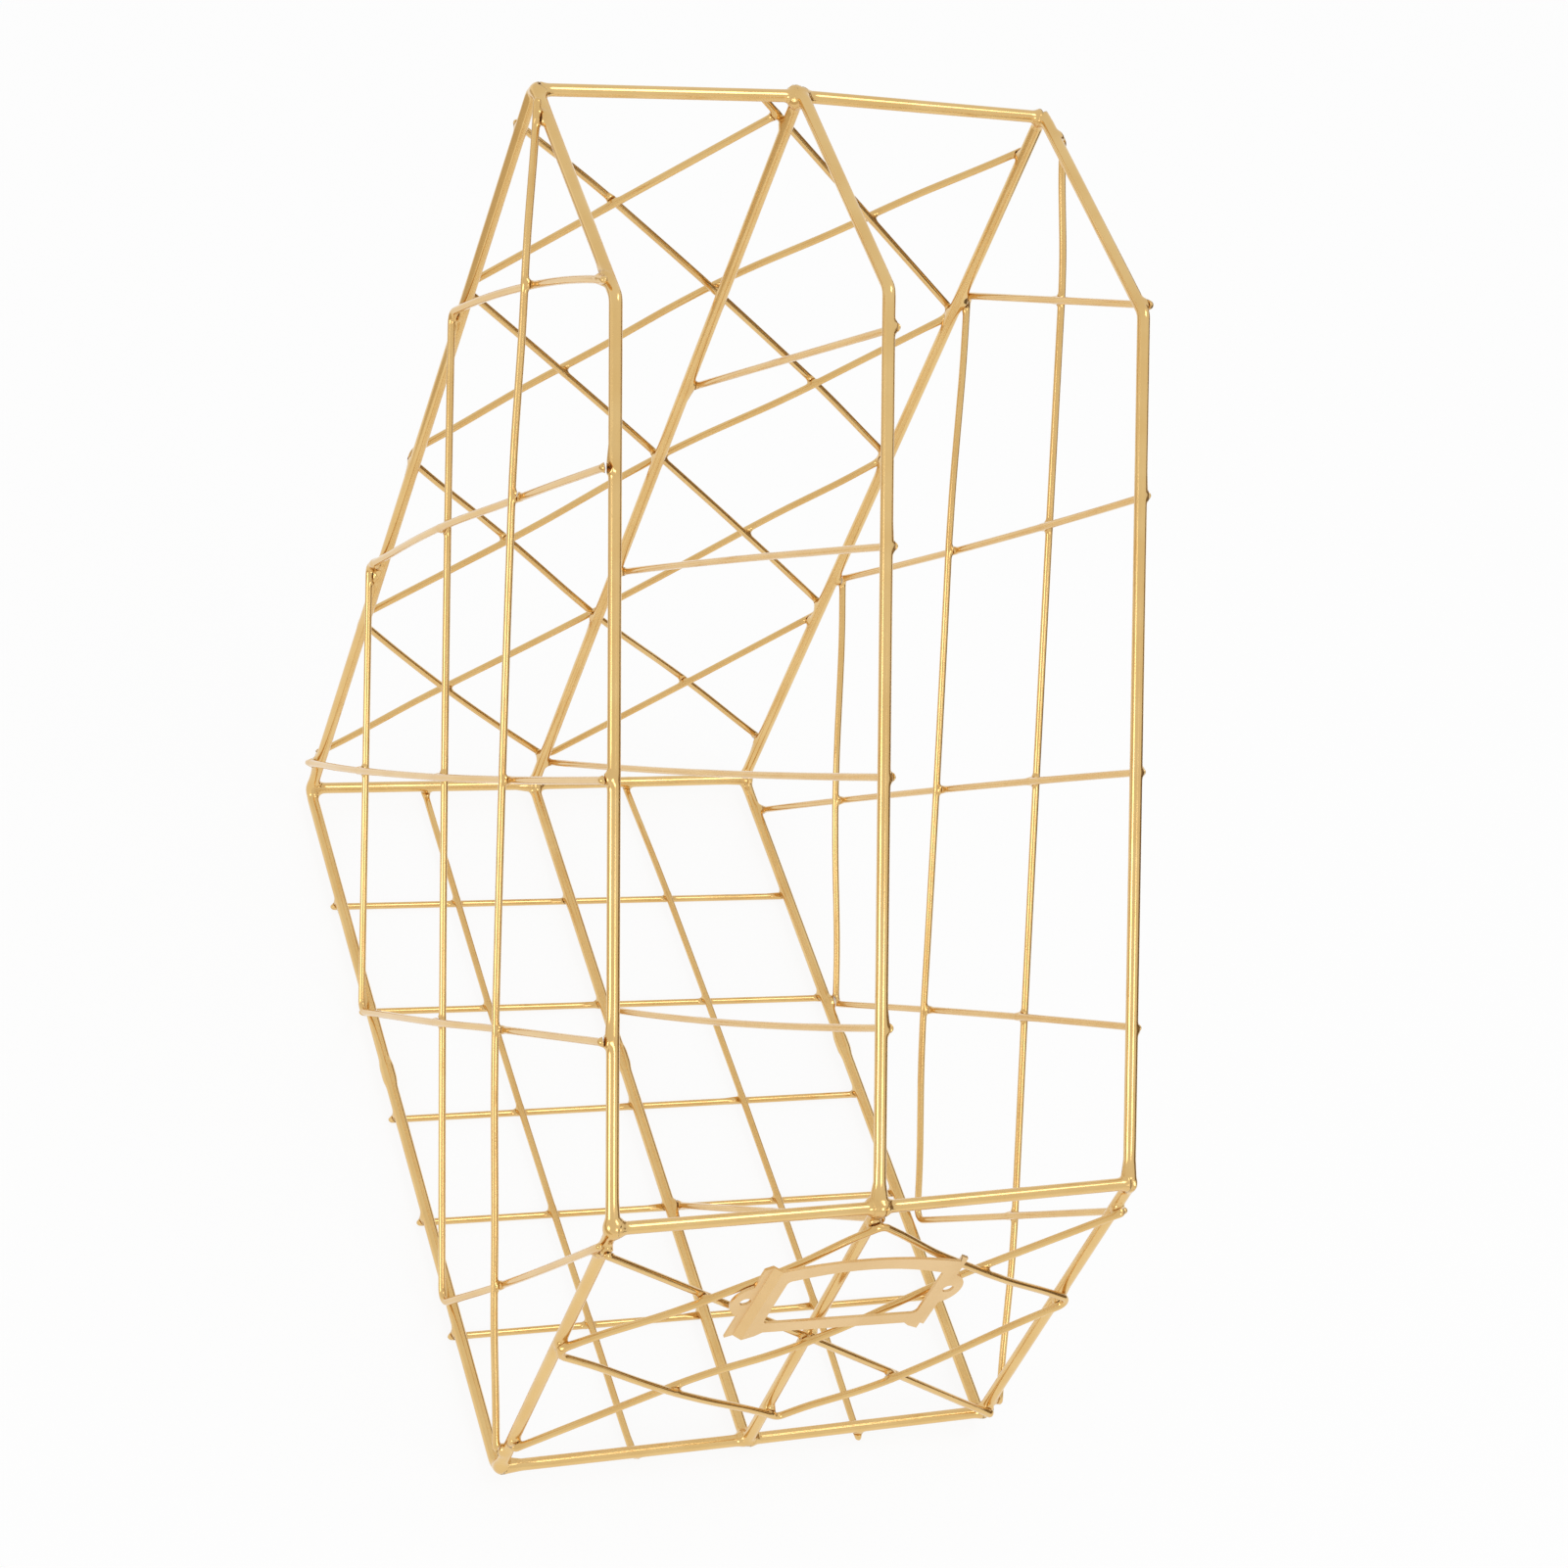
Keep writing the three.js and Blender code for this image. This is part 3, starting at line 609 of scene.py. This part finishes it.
def satin_gold(name, tones, roughness):
    """Satin gold: soft patches of tone, a faint grain, darker welds, an uneven gloss and slight dents."""
    nodes = Nodes(name)
    shader = nodes.shader
    pale, deep = (colour(*tone) for tone in tones)
    patches = nodes.ranged(nodes.noise(*PATCH_NOISE), 0, 1, *PATCH_RANGE)
    tone = nodes.mix(patches, pale, deep)
    grain = nodes.ranged(nodes.noise(*GRAIN_NOISE), 0, GRAIN_STRENGTH, *GRAIN_RANGE)
    tone = nodes.mix(grain, tone, colour(*GRAIN_TONE))
    weld = nodes.add("ShaderNodeAttribute", attribute_name=WELD_LAYER).outputs["Fac"]
    tone = nodes.mix(nodes.ranged(weld, 0, WELD_STRENGTH), tone, colour(*WELD_TONE))
    nodes.link(tone, shader.inputs["Base Color"])
    gloss = nodes.ranged(nodes.noise(*GLOSS_NOISE), roughness - GLOSSIER, roughness + DULLER, *GLOSS_RANGE)
    nodes.link(gloss, shader.inputs["Roughness"])
    bump = nodes.add("ShaderNodeBump")
    bump.inputs["Strength"].default_value = BUMP_STRENGTH
    bump.inputs["Distance"].default_value = BUMP_HEIGHT
    nodes.link(nodes.noise(*BUMP_NOISE), bump.inputs["Height"])
    nodes.link(bump.outputs["Normal"], shader.inputs["Normal"])
    shader.inputs["Metallic"].default_value = METALLIC
    shader.inputs["Coat Weight"].default_value = COAT
    shader.inputs["Coat Roughness"].default_value = COAT_ROUGHNESS
    return nodes.material


def heavy_wire_gold():
    return satin_gold("heavy_wire_gold", HEAVY_TONES, HEAVY_ROUGHNESS)


def thin_wire_gold():
    return satin_gold("thin_wire_gold", THIN_TONES, THIN_ROUGHNESS)


def sheet_gold():
    return satin_gold("sheet_gold", SHEET_TONES, SHEET_ROUGHNESS)


# Matt brown for the boards that paint dark reflections, painted shade, on the wires
def painted_shade_board(name, shade):
    nodes = Nodes(name)
    nodes.shader.inputs["Base Color"].default_value = shade
    nodes.shader.inputs["Roughness"].default_value = BOARD_ROUGHNESS
    return nodes.material


def background_rays(nodes):
    """1 for the rays that show the background: camera, mirror-like and see-through ones."""
    path = nodes.add("ShaderNodeLightPath")
    total = path.outputs["Is Camera Ray"]
    for name in ("Is Glossy Ray", "Is Transmission Ray"):
        larger = nodes.add("ShaderNodeMath", operation="MAXIMUM")
        nodes.link(total, larger.inputs[0])
        nodes.link(path.outputs[name], larger.inputs[1])
        total = larger.outputs[0]
    return total


def floor_white():
    """Matt white that also glows for the rays that show the background, and still keeps a shadow."""
    nodes = Nodes("studio_floor")
    nodes.tree.nodes.remove(nodes.shader)
    matt = nodes.add("ShaderNodeBsdfDiffuse")
    matt.inputs["Color"].default_value = FLOOR_WHITE
    glow = nodes.add("ShaderNodeEmission")
    share = nodes.add("ShaderNodeMath", operation="MULTIPLY")
    nodes.link(background_rays(nodes), share.inputs[0])
    share.inputs[1].default_value = FLOOR_GLOW_SHARE
    both = nodes.add("ShaderNodeMixShader")
    for place, source in enumerate((share, matt, glow)):
        nodes.link(source.outputs[0], both.inputs[place])
    nodes.link(both.outputs[0], nodes.tree.nodes["Material Output"].inputs["Surface"])
    return nodes.material


# The wires' lines, kinds and welds


def read_lines():
    """Each wire's name with its smooth centre line and whether that is closed, and with its kind."""
    rods = sorted(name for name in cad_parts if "_rod_" in name)
    frames = sorted(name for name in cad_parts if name.endswith("_frame") and name != "card_frame")
    mesh = sorted(set(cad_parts) - {*rods, *frames, "card_frame"})
    lines = {}
    kinds = {}
    for kind, sides, nodes in (("frame", FRAME_SIDES, frames), ("mesh", MESH_SIDES, mesh)):
        for node in nodes:
            line, is_closed = wire_line(node, sides)
            lines[node] = (smooth_line(line, is_closed), is_closed)
            kinds[node] = kind
    for node in rods:
        lines[node] = (rod_line(node), False)
        kinds[node] = "rod"
    return lines, kinds


def weld_kind(one, other):
    pair = {kinds[one], kinds[other]}
    if pair == {"rod", "frame"}:
        rod, side = (one, other) if kinds[one] == "rod" else (other, one)
        corner = rod.split("_rod_")[0]
        return "lumpy" if (corner, side) in LUMPY_JOINTS else "rod"
    return "mesh" if pair == {"mesh"} else "frame"


def find_welds():
    """For each wire its welds, each with the name of the wire that it joins."""
    random = Random(SEED)
    found = {name: [] for name in lines}
    for (one, other), middle in find_contacts(lines):
        kind = weld_kind(one, other)
        weld = {"middle": middle, "kind": kind, "lumps": lumps(middle, kind, random)}
        found[one].append((other, weld))
        if other != one:
            found[other].append((one, weld))
    return found


lines, kinds = read_lines()
welds = find_welds()
coarse = {name: evenly_stepped(*line, LONG_STEP) for name, line in lines.items()}


# The pieces

heavy_gold = heavy_wire_gold()
thin_gold = thin_wire_gold()
card_gold = sheet_gold()
FINISHES = {"frame": heavy_gold, "rod": heavy_gold, "mesh": thin_gold}
PIECE_ENDINGS = {"frame": "_wire", "rod": "_bar", "mesh": "_wire"}


def weld_distance(place, node):
    return min((np.linalg.norm(place - weld["middle"]) for _, weld in welds[node]), default=NO_WELD)


def melt_welds(node, line, is_closed, rings):
    """Melts a wire's rings into each wire that it is welded to, or into its own other stretch."""
    for other, weld in welds[node]:
        mine = strands(line, is_closed, weld["middle"])
        if other == node:
            melt_strand(rings, line, mine[0], line[mine[1]], weld)
            melt_strand(rings, line, mine[1], line[mine[0]], weld)
        else:
            near = strands(coarse[other], lines[other][1], weld["middle"])[0]
            melt_strand(rings, line, mine[0], coarse[other][near], weld)


def add_wire(node):
    """A round wire along a node's centre line, in the node's place."""
    kind = kinds[node]

    def step_here(place):
        return WELD_STEP if weld_distance(place, node) < FINE_REACH else LONG_STEP

    line, is_closed = lines[node]
    line = stepped(line, is_closed, step_here)
    if kind == "mesh" and not is_closed:
        line = domed(line)
    corners, faces = tube(line, SIDES[kind], is_closed)
    rings = corners.reshape(len(line), SIDES[kind], 3)
    melt_welds(node, line, is_closed, rings)
    tint = [math.exp(-((weld_distance(row[:3], node) / WELD_TINT_REACH) ** 2)) for row in line]
    weld_tint = np.repeat(tint, SIDES[kind])
    name = node + PIECE_ENDINGS[kind]
    piece = add_wire_piece(name, rings.reshape(-1, 3), faces, FINISHES[kind], weld_tint)
    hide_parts(node)


def add_card_sheet():
    """The pressed card frame with its sharp edges rounded over, in the node's place."""
    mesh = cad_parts["card_frame"].data.copy()
    mesh.materials.clear()
    mesh.materials.append(card_gold)
    sheet = add_object("card_frame_sheet", mesh)
    rim = sheet.modifiers.new("rounded_rim", "BEVEL")
    rim.width = CARD_RIM
    rim.segments = CARD_RIM_STEPS
    rim.limit_method = "ANGLE"
    rim.angle_limit = CARD_RIM_ANGLE
    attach(sheet, "root")
    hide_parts("card_frame")


for node in lines:
    add_wire(node)
add_card_sheet()


# Floor, world, lamps and camera


def add_rectangle(name, size, material):
    """A flat piece of the stage about its own middle."""
    x, y = (side / 2 for side in size)
    mesh = bpy.data.meshes.new(name)
    mesh.from_pydata([(-x, -y, 0), (x, -y, 0), (x, y, 0), (-x, y, 0)], [], [(0, 1, 2, 3)])
    mesh.materials.append(material)
    rectangle = add_object(name, mesh)
    return rectangle


def add_board(name, place, size, lean, shade):
    """A brown board beside the holder that only its reflections show. It paints shade on the wires as a
    dark painted reflection.
    """
    board = add_rectangle(name, size, painted_shade_board(name, shade))
    board.location = place
    board.rotation_euler = (0, lean, 0)
    board.visible_camera = False
    board.visible_diffuse = False
    board.visible_shadow = False


def light_world():
    world = bpy.data.worlds.new("studio")
    bpy.context.scene.world = world
    world.use_nodes = True
    background = world.node_tree.nodes["Background"]
    background.inputs["Color"].default_value = WORLD_WHITE
    background.inputs["Strength"].default_value = WORLD_LIGHT


def add_softbox(name, place, size, brightness):
    """A rectangular lamp that faces the middle of the holder. Brightness is what a mirror would show."""
    lamp = bpy.data.lights.new(name, "AREA")
    lamp.shape = "RECTANGLE"
    lamp.size, lamp.size_y = size
    lamp.energy = WATTS_PER_AREA * brightness * size[0] * size[1]
    softbox = add_object(name, lamp)
    softbox.location = place
    facing = (cad_low + cad_high) / 2 - Vector(place)
    softbox.rotation_euler = facing.to_track_quat("-Z", "Y").to_euler()


def add_camera():
    data = bpy.data.cameras.new("camera")
    data.sensor_width = CAMERA_SENSOR
    data.lens = CAMERA_LENS
    camera = add_object("camera", data)
    camera.location = CAMERA_PLACE
    forward = Vector(CAMERA_AIM) - Vector(CAMERA_PLACE)
    level = forward.to_track_quat("-Z", "Y").to_matrix()
    camera.rotation_euler = (level @ Matrix.Rotation(CAMERA_ROLL, 3, "Z")).to_euler()
    bpy.context.scene.camera = camera


add_rectangle("floor", (FLOOR_SIDE, FLOOR_SIDE), floor_white())
light_world()
for name, settings in SOFTBOXES.items():
    add_softbox(name, **settings)
for name, settings in BOARDS.items():
    add_board(name, **settings)
add_camera()

bpy.context.scene.view_settings.view_transform = "Standard"
